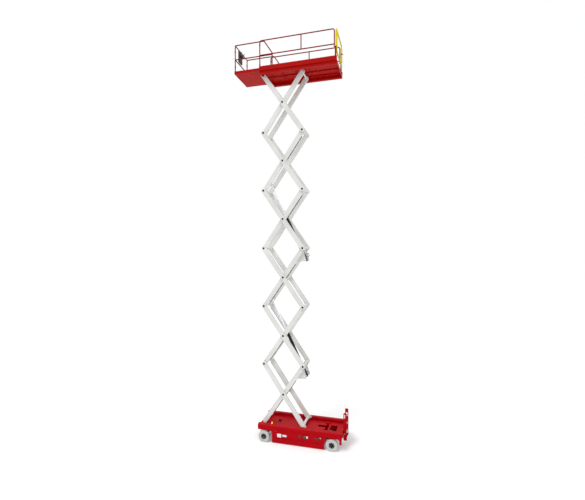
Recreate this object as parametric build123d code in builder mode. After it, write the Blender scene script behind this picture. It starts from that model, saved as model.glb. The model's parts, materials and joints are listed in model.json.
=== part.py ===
from build123d import *
import os
from math import cos, radians, sin

# A self-propelled electric scissor lift, fully raised, with its front deck rolled out.
# Frame: X runs from the steered wheels (-X) to the entry ladder (+X), Y across, Z up.
# The origin is on the floor under the middle of the whole machine. Units are mm.

# ------------------------------------------------------------------ driving dimensions
NEAR, FAR = -1, 1                 # sides: the ground controls are on the near side (-Y)
SIDES = {"near": NEAR, "far": FAR}

WHEELBASE = 2430
AXLES_X = 318.5                   # midway between the axles
FRONT_X, REAR_X = AXLES_X - WHEELBASE / 2, AXLES_X + WHEELBASE / 2
TYRE_R, TYRE_W = 203, 127
WHEEL_Y = 571                     # middle plane of a tyre
RIM_R = 96
AXLE_R = 25                       # stub axle in its hub
RUN_FIT = 0.05                    # radial clearance of a shaft that turns in its bore
KINGPIN_Y, KINGPIN_R = 440, 18

CHASSIS_FRONT, CHASSIS_REAR = AXLES_X - 1440, AXLES_X + 1550
CHASSIS_HALF, BODY_SHOULDER = 608, 600    # upright side, up to the folded edge
TOP_HALF, CHASSIS_TOP = 590, 622
CHASSIS_BOTTOM = 200
ARCH_TOP = 432                    # underside of the body over the tyres
BAY_FRONT, BAY_REAR = AXLES_X - 915, AXLES_X + 975   # the side bays between the wheel arches
PLATE = 8                         # body plate

STAGES = 6
LINK = 2530                       # between the end pins of an arm
LIFT_ANGLE = 55.3                 # slope of the arms at full height, degrees
FIXED_X = AXLES_X - 1273                   # column of fixed pins
BASE_PIN_Z = 632
RISE = LINK * sin(radians(LIFT_ANGLE))
REACH = LINK * cos(radians(LIFT_ANGLE))
TOP_PIN_Z = BASE_PIN_Z + STAGES * RISE
ARM_DEPTH, ARM_W = 160, 70
INNER_IN, OUTER_IN = 255, 335     # inboard faces of the inner and outer arms
PIN_R, PIN_GAP = 30, 0.3
TUBE_R = 45                       # cross tube round a knuckle pin
ROLLER_R, ROLLER_W = 45, 40

LOBE_BACK, LOBE_DROP = 323, 271   # cylinder pin, back from the knuckle and off the arm
LOBE_R, LOBE_T = 55, 20
ROD_PIN_ALONG = 310               # rod pin, along the arm from its lower pin
CYL_PIN_R = 25
BARREL_R, BARREL_LEN = 55, 1680
ROD_R, ROD_LEN = 30, 1790
LOWER_CYL_STAGE, UPPER_CYL_STAGE = 0, 2

DECK_FRONT, DECK_REAR = AXLES_X - 1341, AXLES_X + 1450
DECK_HALF = 630
DECK_UNDER = TOP_PIN_Z - 37       # lower edge of the platform's side panels
FLOOR_T = 4
FLOOR_TOP = TOP_PIN_Z + 88
TOE_TOP = DECK_UNDER + 263
RAIL_TOP = FLOOR_TOP + 1070
MID_RAIL = FLOOR_TOP + 535
RAIL_R = 19
MAIN_RAIL_Y, EXT_RAIL_Y = 604, 552
EXT_FRONT, EXT_OVERLAP = AXLES_X - 2312, 500


def side_plane(side, distance):
    """Upright plane at a distance from the centre, facing outboard, X to +X and Y up."""
    return Plane(origin=(0, side * distance, 0), x_dir=(1, 0, 0), z_dir=(0, -1, 0))


def outward(side, amount):
    """Signed extrusion that grows away from the centre plane on either side."""
    return amount if side == NEAR else -amount


def arm_plane(stage, rising):
    """Plane of one arm pair: X along the arm from its pin on the fixed column."""
    slope = radians(LIFT_ANGLE)
    if rising:
        origin = (FIXED_X, 0, BASE_PIN_Z + stage * RISE)
        return Plane(origin=origin, x_dir=(cos(slope), 0, sin(slope)), z_dir=(0, -1, 0))
    origin = (FIXED_X, 0, BASE_PIN_Z + (stage + 1) * RISE)
    return Plane(origin=origin, x_dir=(cos(slope), 0, -sin(slope)), z_dir=(0, -1, 0))


def wheel_section(x, side):
    """Section plane of a wheel: X outboard along the axle, Y up from the axle."""
    origin = (x, side * WHEEL_Y, TYRE_R)
    return Plane(origin=origin, x_dir=(0, side, 0), z_dir=(side, 0, 0))


def axle_axis(x):
    return Axis((x, 0, TYRE_R), (0, 1, 0))


def add_tube(*points, radius=RAIL_R, bend=None):
    """Round tube along straight runs, its corners bent where a bend radius is given."""
    with BuildLine() as path:
        if bend:
            FilletPolyline(*points, radius=bend)
        else:
            Polyline(*points)
    with BuildSketch(Plane(origin=path.line @ 0, z_dir=path.line % 0)) as profile:
        Circle(radius)
    sweep(profile.sketch, path=path.line)


def save(part, name):
    part.label = name
    export_step(part, f"parts/{name}.step")


os.makedirs("parts", exist_ok=True)

# ------------------------------------------------------------------ wheels
WHEELS = {
    # name: (x, side)
    "front_near": (FRONT_X, NEAR),
    "front_far": (FRONT_X, FAR),
    "rear_near": (REAR_X, NEAR),
    "rear_far": (REAR_X, FAR),
}
HALF_TYRE = TYRE_W / 2
SHOULDER = 16
RIM_HALF = 52                     # the rim is narrower than the tyre
DISC_OUT, DISC_T = 26, 12
BOSS_R = 44
BOSS_IN, BOSS_OUT = -20, 50

for name, (x, side) in WHEELS.items():
    with BuildPart() as tyre:
        with BuildSketch(wheel_section(x, side)):
            with BuildLine():
                Polyline(
                    (-RIM_HALF, RIM_R),
                    (-HALF_TYRE, RIM_R + 14),
                    (-HALF_TYRE, TYRE_R - SHOULDER),
                    (-HALF_TYRE + SHOULDER, TYRE_R),
                    (HALF_TYRE - SHOULDER, TYRE_R),
                    (HALF_TYRE, TYRE_R - SHOULDER),
                    (HALF_TYRE, RIM_R + 14),
                    (RIM_HALF, RIM_R),
                    close=True,
                )
            make_face()
        revolve(axis=axle_axis(x))
    save(tyre.part, f"{name}_tyre")

    with BuildPart() as hub:
        with BuildSketch(wheel_section(x, side)):
            with BuildLine():
                Polyline(
                    (-RIM_HALF, RIM_R),
                    (-RIM_HALF, RIM_R - 12),
                    (DISC_OUT - DISC_T, RIM_R - 18),
                    (BOSS_IN + 12, BOSS_R),
                    (BOSS_IN, BOSS_R),
                    (BOSS_IN, AXLE_R + RUN_FIT),
                    (BOSS_OUT, AXLE_R + RUN_FIT),
                    (BOSS_OUT, BOSS_R - 6),
                    (DISC_OUT + 8, BOSS_R),
                    (DISC_OUT, BOSS_R + 8),
                    (DISC_OUT, RIM_R - 18),
                    (RIM_HALF, RIM_R - 10),
                    (RIM_HALF, RIM_R),
                    close=True,
                )
            make_face()
        revolve(axis=axle_axis(x))
    save(hub.part, f"{name}_hub")

# ------------------------------------------------------------------ axles and steering
BEAM_TOP, BEAM_BOTTOM, BEAM_HALF_X = 256, 150, 50
YOKE_IN, YOKE_OUT, YOKE_T = 380, 475, 15
YOKE_HALF_Z = 95
KNUCKLE_R = 32
KNUCKLE_HALF_Z = 78
STEER_ARM = 150                   # kingpin to tie-rod ball, along X
STEER_ARM_Z = TYRE_R - 40
NOTCH_Y, NOTCH_W, NOTCH_DROP = 382, 40, 25
BALL_R = 14

with BuildPart() as front_axle:
    with BuildSketch(Plane.YZ.offset(FRONT_X - BEAM_HALF_X)):
        with Locations((0, (BEAM_TOP + BEAM_BOTTOM) / 2)):
            Rectangle(2 * YOKE_IN, BEAM_TOP - BEAM_BOTTOM)
        for side in SIDES.values():
            with Locations((side * (YOKE_IN + YOKE_OUT) / 2, TYRE_R)):
                Rectangle(YOKE_OUT - YOKE_IN, 2 * YOKE_HALF_Z)
            with Locations((side * (YOKE_OUT + YOKE_IN + 20) / 2, TYRE_R)):
                Rectangle(YOKE_OUT - YOKE_IN - 20, 2 * (YOKE_HALF_Z - YOKE_T), mode=Mode.SUBTRACT)
    extrude(amount=2 * BEAM_HALF_X)
    with BuildSketch(Plane.XY):
        with Locations((FRONT_X, -KINGPIN_Y), (FRONT_X, KINGPIN_Y)):
            Circle(KINGPIN_R + RUN_FIT)
    extrude(amount=BEAM_TOP + YOKE_HALF_Z, mode=Mode.SUBTRACT)
    # room for the steer arms to swing inboard
    with BuildSketch(Plane.XY.offset(STEER_ARM_Z - NOTCH_DROP)):
        with Locations((FRONT_X + BEAM_HALF_X, -NOTCH_Y), (FRONT_X + BEAM_HALF_X, NOTCH_Y)):
            Rectangle(2 * BEAM_HALF_X - 10, NOTCH_W)
    extrude(amount=NOTCH_DROP + 35, mode=Mode.SUBTRACT)
save(front_axle.part, "front_axle")

for name, side in SIDES.items():
    with BuildPart() as knuckle:
        with BuildSketch(Plane.XY.offset(TYRE_R - KNUCKLE_HALF_Z)):
            with Locations((FRONT_X, side * KINGPIN_Y)):
                Circle(KNUCKLE_R)
        extrude(amount=2 * KNUCKLE_HALF_Z)
        with BuildSketch(Plane.XY.offset(TYRE_R - YOKE_HALF_Z - 8)):
            with Locations((FRONT_X, side * KINGPIN_Y)):
                Circle(KINGPIN_R)
        extrude(amount=2 * YOKE_HALF_Z + 16)
        with BuildSketch(side_plane(side, KINGPIN_Y)):
            with Locations((FRONT_X, TYRE_R)):
                Circle(AXLE_R)
        extrude(amount=outward(side, WHEEL_Y + BOSS_OUT - KINGPIN_Y))
        with BuildSketch(side_plane(side, KINGPIN_Y)):
            with Locations((FRONT_X, TYRE_R)):
                Circle(BOSS_R - 2)
        extrude(amount=outward(side, WHEEL_Y + BOSS_IN - 3 - KINGPIN_Y))
        with BuildSketch(Plane.XY.offset(STEER_ARM_Z)):
            with Locations((FRONT_X + STEER_ARM / 2, side * KINGPIN_Y)):
                SlotCenterToCenter(STEER_ARM, 2 * BALL_R + 16)
        extrude(amount=14)
        with BuildSketch(Plane.XY.offset(STEER_ARM_Z - 18)):
            with Locations((FRONT_X + STEER_ARM, side * KINGPIN_Y)):
                Circle(8)
        extrude(amount=18)
    save(knuckle.part, f"{name}_steering_knuckle")

with BuildPart() as tie_rod:
    with BuildSketch(Plane.XZ.offset(-KINGPIN_Y)):
        with Locations((FRONT_X + STEER_ARM, STEER_ARM_Z - 17)):
            Circle(11)
    extrude(amount=2 * KINGPIN_Y)
    with BuildSketch(Plane.XY.offset(STEER_ARM_Z - 31)):
        with Locations((FRONT_X + STEER_ARM, -KINGPIN_Y), (FRONT_X + STEER_ARM, KINGPIN_Y)):
            Circle(2 * BALL_R - 8)
    extrude(amount=28)
    with BuildSketch(Plane.XY.offset(STEER_ARM_Z - 31)):
        with Locations((FRONT_X + STEER_ARM, -KINGPIN_Y), (FRONT_X + STEER_ARM, KINGPIN_Y)):
            Circle(8 + 2 * RUN_FIT)
    extrude(amount=28, mode=Mode.SUBTRACT)
save(tie_rod.part, "tie_rod")

MOTOR_R, MOTOR_IN, MOTOR_OUT = 82, 250, 505
with BuildPart() as rear_axle:
    with BuildSketch(Plane.YZ.offset(REAR_X - BEAM_HALF_X)):
        with Locations((0, (BEAM_TOP + BEAM_BOTTOM) / 2)):
            Rectangle(2 * (MOTOR_IN + 20), BEAM_TOP - BEAM_BOTTOM)
    extrude(amount=2 * BEAM_HALF_X)
    for side in SIDES.values():
        with BuildSketch(side_plane(side, MOTOR_IN)):
            with Locations((REAR_X, TYRE_R)):
                Circle(MOTOR_R)
        extrude(amount=outward(side, MOTOR_OUT - MOTOR_IN))
        with BuildSketch(side_plane(side, MOTOR_OUT)):
            with Locations((REAR_X, TYRE_R)):
                Circle(AXLE_R)
        extrude(amount=outward(side, WHEEL_Y + BOSS_OUT - MOTOR_OUT))
        with BuildSketch(side_plane(side, MOTOR_OUT)):
            with Locations((REAR_X, TYRE_R)):
                Circle(BOSS_R - 2)
        extrude(amount=outward(side, WHEEL_Y + BOSS_IN - 3 - MOTOR_OUT))
save(rear_axle.part, "rear_drive_axle")

# ------------------------------------------------------------------ chassis
TRACK_TOP = BASE_PIN_Z - ROLLER_R - PIN_GAP
TRACK_IN, WEB_IN = 415, 462       # roller ledge and the upright web behind it
LEDGE_T = 12
LUG_IN, LUG_T, LUG_R = 231, 16, 55
STRINGER_IN = 331                 # rear stringers, outboard of the cylinder's lobes
WELL_DECK = 538                   # top of the sunk deck between the webs
DOOR_FRONT, DOOR_REAR = AXLES_X - 820, AXLES_X + 890
DOOR_BOTTOM, DOOR_TOP = 222, 492
REAR_ARCH = REAR_X - 242
BAY_IN = 280                      # inboard wall of the side bays
WELL_SLOTS = (
    # x front, x rear, y near, y far: barrel, cross pin, near lobe, far lobe
    (AXLES_X + 640, AXLES_X + 1010, -68, 68),
    (AXLES_X + 900, AXLES_X + 995, -262, 262),
    (AXLES_X + 845, AXLES_X + 1060, -265, -217),
    (AXLES_X + 845, AXLES_X + 1060, 217, 265),
)
HATCH = (AXLES_X + 1070, AXLES_X + 1310)  # opening over the drive motors
LEG_W, LEG_BOTTOM = 78, 255       # narrow corner legs behind the rear wheels
TAIL_BOTTOM = 400
MOTOR_TOP = 305
EYE_R, EYE_HOLE_R, EYE_T, EYE_REACH = 34, 16, 24, 22
EYE_Y, EYE_Z = 480, 492
NOSE = (STRINGER_IN, BEAM_TOP)

with BuildPart() as chassis:
    for side in SIDES.values():
        # outer skirt with both wheel arches and the door opening
        with BuildSketch(side_plane(side, CHASSIS_HALF - PLATE)):
            with BuildLine():
                Polyline(
                    (CHASSIS_FRONT, ARCH_TOP),
                    (CHASSIS_FRONT, BODY_SHOULDER),
                    (CHASSIS_REAR, BODY_SHOULDER),
                    (CHASSIS_REAR, LEG_BOTTOM),
                    (CHASSIS_REAR - LEG_W, LEG_BOTTOM),
                    (CHASSIS_REAR - LEG_W, TAIL_BOTTOM - 20),
                    (CHASSIS_REAR - LEG_W - 40, ARCH_TOP),
                    (REAR_ARCH + 60, ARCH_TOP),
                    (REAR_ARCH, ARCH_TOP - 60),
                    (REAR_ARCH, CHASSIS_BOTTOM),
                    (BAY_FRONT, CHASSIS_BOTTOM),
                    (BAY_FRONT, ARCH_TOP - 60),
                    (BAY_FRONT - 60, ARCH_TOP),
                    close=True,
                )
            make_face()
            with Locations(((DOOR_FRONT + DOOR_REAR) / 2, (DOOR_BOTTOM + DOOR_TOP) / 2)):
                Rectangle(DOOR_REAR - DOOR_FRONT, DOOR_TOP - DOOR_BOTTOM, mode=Mode.SUBTRACT)
        extrude(amount=outward(side, PLATE))
        # leaning shoulder and top flange
        with BuildSketch(Plane.YZ.offset(CHASSIS_FRONT)):
            with BuildLine():
                Polyline(
                    (side * CHASSIS_HALF, BODY_SHOULDER),
                    (side * TOP_HALF, CHASSIS_TOP),
                    (side * WEB_IN, CHASSIS_TOP),
                    (side * WEB_IN, CHASSIS_TOP - PLATE),
                    (side * (TOP_HALF - PLATE), CHASSIS_TOP - PLATE),
                    (side * (CHASSIS_HALF - PLATE), BODY_SHOULDER),
                    close=True,
                )
            make_face()
        extrude(amount=CHASSIS_REAR - CHASSIS_FRONT)
        # inner web that carries the roller ledge
        with BuildSketch(side_plane(side, WEB_IN)):
            with Locations(((CHASSIS_FRONT + CHASSIS_REAR) / 2, (ARCH_TOP + CHASSIS_TOP) / 2)):
                Rectangle(CHASSIS_REAR - CHASSIS_FRONT, CHASSIS_TOP - ARCH_TOP)
            with Locations(((BAY_FRONT + BAY_REAR) / 2, (ARCH_TOP + WELL_DECK - PLATE) / 2)):
                Rectangle(BAY_REAR - BAY_FRONT, WELL_DECK - PLATE - ARCH_TOP, mode=Mode.SUBTRACT)
        extrude(amount=outward(side, PLATE))
        ledge_front = FIXED_X + REACH - 140
        with BuildSketch(Plane.YZ.offset(ledge_front)):
            with Locations((side * (TRACK_IN + WEB_IN) / 2, TRACK_TOP - LEDGE_T / 2)):
                Rectangle(WEB_IN - TRACK_IN, LEDGE_T)
            with Locations((side * (WEB_IN - LEDGE_T / 2), (WELL_DECK + TRACK_TOP) / 2)):
                Rectangle(LEDGE_T, TRACK_TOP - WELL_DECK)
        extrude(amount=CHASSIS_REAR - PLATE - ledge_front)
        # bay under the shoulder: inboard wall, floor and two ends
        bay_x = (BAY_FRONT + BAY_REAR) / 2
        with BuildSketch(Plane.XZ.offset(-side * BAY_IN)):
            with Locations((bay_x, (CHASSIS_BOTTOM + WELL_DECK) / 2)):
                Rectangle(BAY_REAR - BAY_FRONT, WELL_DECK - CHASSIS_BOTTOM)
        extrude(amount=-side * PLATE)
        with BuildSketch(Plane.XY.offset(CHASSIS_BOTTOM)):
            with Locations((bay_x, side * (BAY_IN + CHASSIS_HALF) / 2)):
                Rectangle(BAY_REAR - BAY_FRONT, CHASSIS_HALF - BAY_IN)
        extrude(amount=PLATE)
        for x in (BAY_FRONT, BAY_REAR - PLATE):
            with BuildSketch(Plane.YZ.offset(x)):
                with BuildLine():
                    Polyline(
                        (side * BAY_IN, CHASSIS_BOTTOM),
                        (side * CHASSIS_HALF, CHASSIS_BOTTOM),
                        (side * CHASSIS_HALF, BODY_SHOULDER),
                        (side * TOP_HALF, CHASSIS_TOP),
                        (side * WEB_IN, CHASSIS_TOP),
                        (side * WEB_IN, WELL_DECK),
                        (side * BAY_IN, WELL_DECK),
                        close=True,
                    )
                make_face()
            extrude(amount=PLATE)
        # pivot bracket of the fixed arm pair, standing on the front axle
        with BuildSketch(side_plane(side, LUG_IN)):
            with BuildLine():
                Polyline(
                    (CHASSIS_FRONT, BEAM_TOP),
                    (CHASSIS_FRONT, WELL_DECK),
                    (FIXED_X - 100, BASE_PIN_Z - ARM_DEPTH / 2),
                    (FIXED_X + 100, BASE_PIN_Z - ARM_DEPTH / 2),
                    (BAY_FRONT, WELL_DECK),
                    (BAY_FRONT, BEAM_TOP),
                    close=True,
                )
            make_face()
            with Locations((FIXED_X, BASE_PIN_Z)):
                Circle(LUG_R)
            with Locations((FIXED_X, BASE_PIN_Z - 45)):
                Rectangle(2 * LUG_R, 90)
            with Locations((FIXED_X, BASE_PIN_Z)):
                Circle(PIN_R + PIN_GAP, mode=Mode.SUBTRACT)
        extrude(amount=outward(side, LUG_T))
        # rear stringer over the drive axle
        with BuildSketch(side_plane(side, STRINGER_IN)):
            with BuildLine():
                Polyline(
                    (BAY_REAR - PLATE, BEAM_TOP),
                    (BAY_REAR - PLATE, WELL_DECK - PLATE),
                    (CHASSIS_REAR - PLATE, WELL_DECK - PLATE),
                    (CHASSIS_REAR - PLATE, TAIL_BOTTOM),
                    (REAR_X + 160, TAIL_BOTTOM),
                    (REAR_X + 60, MOTOR_TOP),
                    (REAR_X + 60, BEAM_TOP),
                    close=True,
                )
            make_face()
            with Locations((REAR_X, TYRE_R)):
                Circle(MOTOR_R + 2, mode=Mode.SUBTRACT)
        extrude(amount=outward(side, LUG_T))
        # shelf that ties each bracket to the skirt over the tyre
        shelves = ((CHASSIS_FRONT, BAY_FRONT, LUG_IN), (BAY_REAR - PLATE, CHASSIS_REAR, STRINGER_IN))
        for front, rear, inboard in shelves:
            with BuildSketch(Plane.XY.offset(ARCH_TOP)):
                with Locations(((front + rear) / 2, side * (inboard + CHASSIS_HALF) / 2)):
                    Rectangle(rear - front, CHASSIS_HALF - inboard)
            extrude(amount=PLATE)
        # front and rear end plates
        with BuildSketch(Plane.YZ.offset(CHASSIS_FRONT)):
            with BuildLine():
                Polyline(
                    (0, NOSE[1]),
                    (side * NOSE[0], NOSE[1]),
                    (side * NOSE[0], ARCH_TOP),
                    (side * CHASSIS_HALF, ARCH_TOP),
                    (side * CHASSIS_HALF, BODY_SHOULDER),
                    (side * TOP_HALF, CHASSIS_TOP),
                    (side * WEB_IN, CHASSIS_TOP),
                    (side * WEB_IN, WELL_DECK),
                    (0, WELL_DECK),
                    close=True,
                )
            make_face()
        extrude(amount=PLATE)
        with BuildSketch(Plane.YZ.offset(CHASSIS_REAR - PLATE)):
            with BuildLine():
                Polyline(
                    (0, TAIL_BOTTOM),
                    (side * (CHASSIS_HALF - LEG_W), TAIL_BOTTOM),
                    (side * (CHASSIS_HALF - LEG_W / 2), LEG_BOTTOM),
                    (side * CHASSIS_HALF, LEG_BOTTOM),
                    (side * CHASSIS_HALF, BODY_SHOULDER),
                    (side * TOP_HALF, CHASSIS_TOP),
                    (0, CHASSIS_TOP),
                    close=True,
                )
            make_face()
        extrude(amount=PLATE)
    # sunk deck with slots for the folded cylinder and the hatch over the drive motors
    with BuildSketch(Plane.XY.offset(WELL_DECK - PLATE)):
        with Locations(((CHASSIS_FRONT + CHASSIS_REAR) / 2, 0)):
            Rectangle(CHASSIS_REAR - CHASSIS_FRONT, 2 * (WEB_IN + PLATE))
        for front, rear, near, far in WELL_SLOTS:
            with Locations(((front + rear) / 2, (near + far) / 2)):
                Rectangle(rear - front, far - near, mode=Mode.SUBTRACT)
        with Locations(((HATCH[0] + HATCH[1]) / 2, -60)):
            Rectangle(HATCH[1] - HATCH[0], 400, mode=Mode.SUBTRACT)
    extrude(amount=PLATE)
    for x in (BAY_FRONT, AXLES_X, BAY_REAR - 60):
        with BuildSketch(Plane.YZ.offset(x)):
            with Locations((0, CHASSIS_BOTTOM + 50)):
                Rectangle(2 * BAY_IN, 100)
        extrude(amount=60)
    # lashing eyes on both end plates
    for x, way in ((CHASSIS_FRONT, -1), (CHASSIS_REAR, 1)):
        for y in (-EYE_Y, EYE_Y):
            eye_plane = Plane(origin=(x, y - EYE_T / 2, EYE_Z), x_dir=(1, 0, 0), z_dir=(0, 1, 0))
            with BuildSketch(eye_plane):
                with Locations((way * EYE_REACH, 0)):
                    Circle(EYE_R)
                with Locations((way * EYE_REACH / 2, 0)):
                    Rectangle(EYE_REACH, 2 * EYE_R)
                with Locations((way * EYE_REACH, 0)):
                    Circle(EYE_HOLE_R, mode=Mode.SUBTRACT)
                with Locations((-way * EYE_R, 0)):
                    Rectangle(2 * EYE_R, 3 * EYE_R, mode=Mode.SUBTRACT)
            extrude(amount=EYE_T)
save(chassis.part, "chassis_frame")

# ------------------------------------------------------------------ chassis fittings
GAP = 5
DOOR_HINGE_X, DOOR_HINGE_Y = AXLES_X - 806, 615
HINGE_Z = (250, 410)
for name, side in SIDES.items():
    with BuildPart() as door:
        centre = ((DOOR_FRONT + DOOR_REAR) / 2, (DOOR_BOTTOM + DOOR_TOP) / 2)
        wide = DOOR_REAR - DOOR_FRONT - 2 * GAP
        tall = DOOR_TOP - DOOR_BOTTOM - 2 * GAP
        with BuildSketch(side_plane(side, CHASSIS_HALF - 30)):
            with Locations(centre):
                Rectangle(wide, tall)
        extrude(amount=outward(side, 30))
        with BuildSketch(side_plane(side, CHASSIS_HALF - 30)):
            with Locations(centre):
                Rectangle(wide - 8, tall - 8)
        extrude(amount=outward(side, 26), mode=Mode.SUBTRACT)
        with BuildSketch(side_plane(side, CHASSIS_HALF)):
            with Locations(centre):
                Rectangle(wide - 180, tall - 110)
        extrude(amount=outward(side, 8), taper=30)
        for z in HINGE_Z:
            with BuildSketch(Plane.XY.offset(z)):
                with Locations((DOOR_HINGE_X, side * DOOR_HINGE_Y)):
                    Circle(7)
                with Locations((DOOR_HINGE_X + 12, side * (DOOR_HINGE_Y - 5))):
                    Rectangle(24, 8)
            extrude(amount=60)
    save(door.part, f"{name}_side_door")

    with BuildPart() as guard:
        with BuildSketch(Plane.YZ.offset(BAY_FRONT)):
            with BuildLine():
                Polyline(
                    (side * 598, 190),
                    (side * 598, 22),
                    (side * 560, 22),
                    (side * 560, 30),
                    (side * 588, 30),
                    (side * 588, 190),
                    close=True,
                )
            make_face()
            with Locations((side * 593, 188)):
                Circle(7)
        extrude(amount=BAY_REAR - BAY_FRONT - 15)
    save(guard.part, f"{name}_pothole_guard")

PANEL_X, PANEL_Z = AXLES_X + 300, 370
with BuildPart() as ground_control:
    with BuildSketch(side_plane(NEAR, CHASSIS_HALF + 8)):
        with Locations((PANEL_X, PANEL_Z)):
            RectangleRounded(230, 150, 12)
    extrude(amount=10)
    with BuildSketch(side_plane(NEAR, CHASSIS_HALF + 18)):
        with Locations((PANEL_X + 60, PANEL_Z)):
            Circle(20)
    extrude(amount=8)
save(ground_control.part, "ground_control_panel")

with BuildPart() as battery:
    for side in SIDES.values():
        with BuildSketch(Plane.XY.offset(CHASSIS_BOTTOM + PLATE)):
            with Locations((AXLES_X - 250, side * 455)):
                Rectangle(900, 220)
        extrude(amount=220)
save(battery.part, "battery_pack")

BEACON_X, BEACON_Y = AXLES_X - 945, -491
with BuildPart() as beacon:
    with BuildSketch(Plane.XY.offset(CHASSIS_TOP)):
        with Locations((BEACON_X, BEACON_Y)):
            Circle(28)
    extrude(amount=12)
    with BuildSketch(Plane.XY.offset(CHASSIS_TOP + 12)):
        with Locations((BEACON_X, BEACON_Y)):
            Circle(25)
    extrude(amount=58, taper=3)
    fillet(beacon.edges().group_by(Axis.Z)[-1], radius=12)
save(beacon.part, "beacon")

STILE_Y, STILE_T, STILE_W = 200, 8, 118
STILE_X = AXLES_X + 1675 - STILE_W / 2
LADDER_BOTTOM, LADDER_TOP = 225, 1175
STILE_HOLES = {
    # side: (height of the hole's middle, its length, its width)
    NEAR: ((1050, 138, 52), (450, 44, 40)),
    FAR: ((370, 138, 52), (660, 138, 52), (970, 138, 52)),
}
BRACKET_Z = (495, 590)
RUNG_Z = (300, 560, 820)
RUNG_HALF, RUNG_LIP = 46, 30
with BuildPart() as ladder:
    for side in SIDES.values():
        with BuildSketch(side_plane(side, STILE_Y)):
            with Locations((STILE_X, (LADDER_BOTTOM + LADDER_TOP) / 2)):
                RectangleRounded(STILE_W, LADDER_TOP - LADDER_BOTTOM, 40)
            for z, tall, wide in STILE_HOLES[side]:
                with Locations((STILE_X, z)):
                    SlotOverall(tall, wide, rotation=90, mode=Mode.SUBTRACT)
            for z in BRACKET_Z:
                with Locations(((CHASSIS_REAR + STILE_X - STILE_W / 4) / 2, z)):
                    Rectangle(STILE_X - STILE_W / 4 - CHASSIS_REAR, 40)
        extrude(amount=outward(side, STILE_T))
    for z in RUNG_Z:
        with BuildSketch(Plane.XZ.offset(-STILE_Y)):
            with BuildLine():
                Polyline(
                    (STILE_X - RUNG_HALF, z),
                    (STILE_X + RUNG_HALF, z),
                    (STILE_X + RUNG_HALF, z - RUNG_LIP),
                    (STILE_X + RUNG_HALF - 4, z - RUNG_LIP),
                    (STILE_X + RUNG_HALF - 4, z - 4),
                    (STILE_X - RUNG_HALF + 4, z - 4),
                    (STILE_X - RUNG_HALF + 4, z - RUNG_LIP),
                    (STILE_X - RUNG_HALF, z - RUNG_LIP),
                    close=True,
                )
            make_face()
        extrude(amount=2 * STILE_Y)
save(ladder.part, "entry_ladder")

# ------------------------------------------------------------------ scissor arms
OUTER_OUT = OUTER_IN + ARM_W
INNER_OUT = INNER_IN + ARM_W
PIN_HEAD = 8
FOOT_T, FOOT_LEN, FOOT_DEPTH = 6, 120, 56


def add_arm_pair(plane, inboard):
    """Two plain arms with round ends, one each side of the centre plane."""
    for start in (inboard, -inboard - ARM_W):
        with BuildSketch(plane.offset(start)) as profile:
            with Locations((LINK / 2, 0)):
                SlotCenterToCenter(LINK, ARM_DEPTH)
        extrude(profile.sketch, amount=ARM_W)


def add_shaft(plane, along, radius, half_length):
    with BuildSketch(plane) as profile:
        with Locations((along, 0)):
            Circle(radius)
    extrude(profile.sketch, amount=half_length, both=True)


def add_rollers(plane, along, inboard):
    for start in (inboard, -inboard - ROLLER_W):
        with BuildSketch(plane.offset(start)) as profile:
            with Locations((along, 0)):
                Circle(ROLLER_R)
        extrude(profile.sketch, amount=ROLLER_W)


def add_feet(plane):
    """Foot plates of the sliding ends, level with the deck when the lift is up."""
    for start in (OUTER_OUT, -OUTER_OUT - FOOT_T):
        with BuildSketch(plane.offset(start)) as profile:
            with Locations((LINK, 0)):
                Circle(ARM_DEPTH / 2 - 4)
            with Locations(Location((LINK, 0), LIFT_ANGLE)):
                with Locations((FOOT_LEN / 2, 0)):
                    Rectangle(FOOT_LEN, FOOT_DEPTH)
            make_hull()
        extrude(profile.sketch, amount=FOOT_T)


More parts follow.
